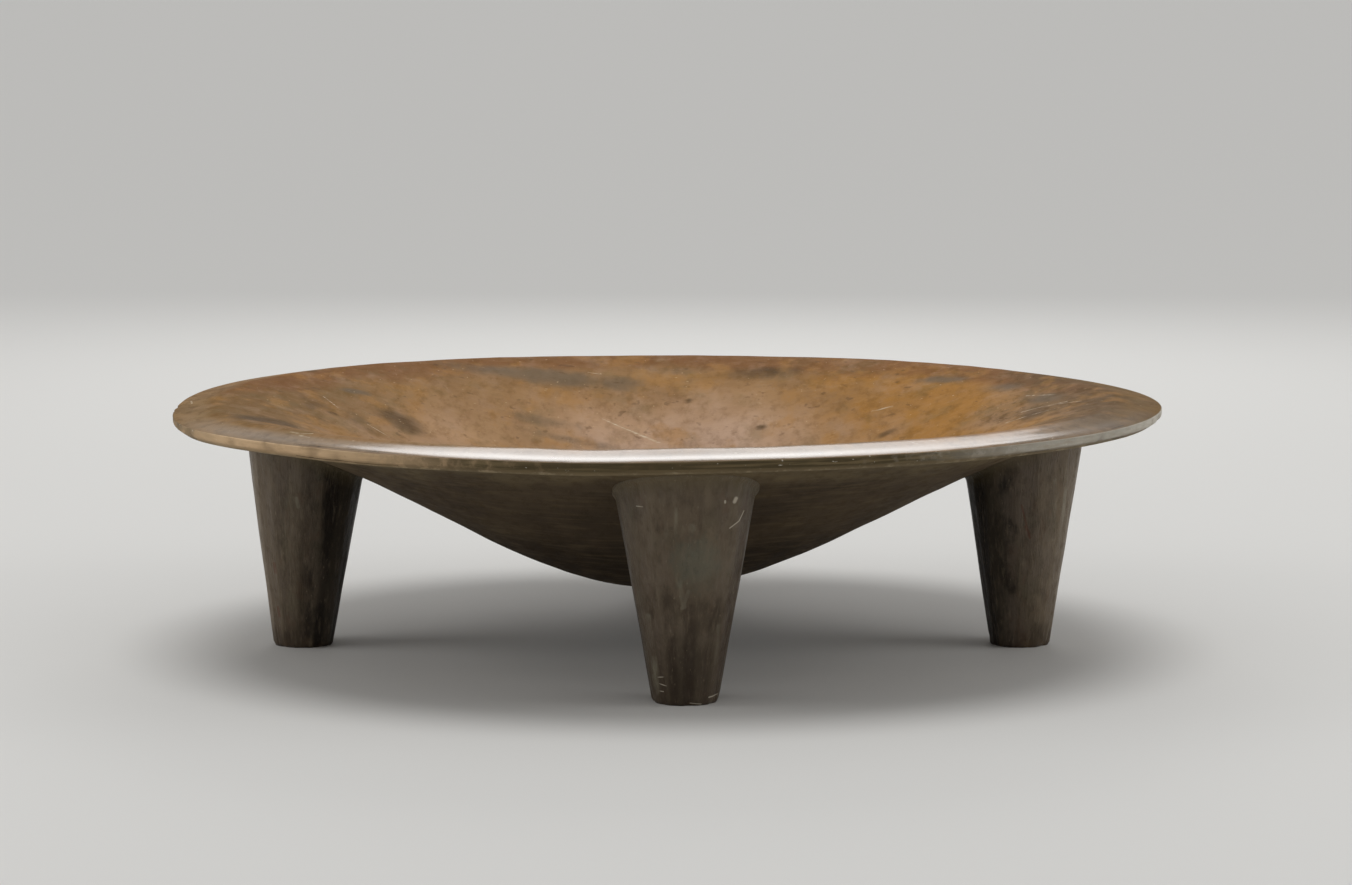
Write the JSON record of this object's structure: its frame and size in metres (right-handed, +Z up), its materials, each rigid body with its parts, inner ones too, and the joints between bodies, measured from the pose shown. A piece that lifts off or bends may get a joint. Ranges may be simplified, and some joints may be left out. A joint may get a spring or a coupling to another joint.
{
  "type": "kava bowl",
  "caption": "Broad shallow carved hardwood kava bowl on stout tapered legs, with a sloping lip round the rim and a pierced lug under it for a hanging cord.",
  "frame": {"origin": "on the floor, under the middle of the rim", "axes": "+Z up out of the bowl, -Y towards the front leg, +X towards the right leg seen from the front"},
  "size_m": [0.6799, 0.6799, 0.1725],
  "materials": {
    "dish_wood": "oiled dark hardwood, polished by handling, with a stained and worn hollow",
    "leg_wood": "dark patinated hardwood with soft adze facets and scuffs"
  },
  "bodies": {
    "root": {"bowl": "dish_wood", "leg_front": "leg_wood", "leg_right": "leg_wood", "leg_back": "leg_wood", "leg_left": "leg_wood", "hanging_lug": "leg_wood"}
  },
  "joints": []
}
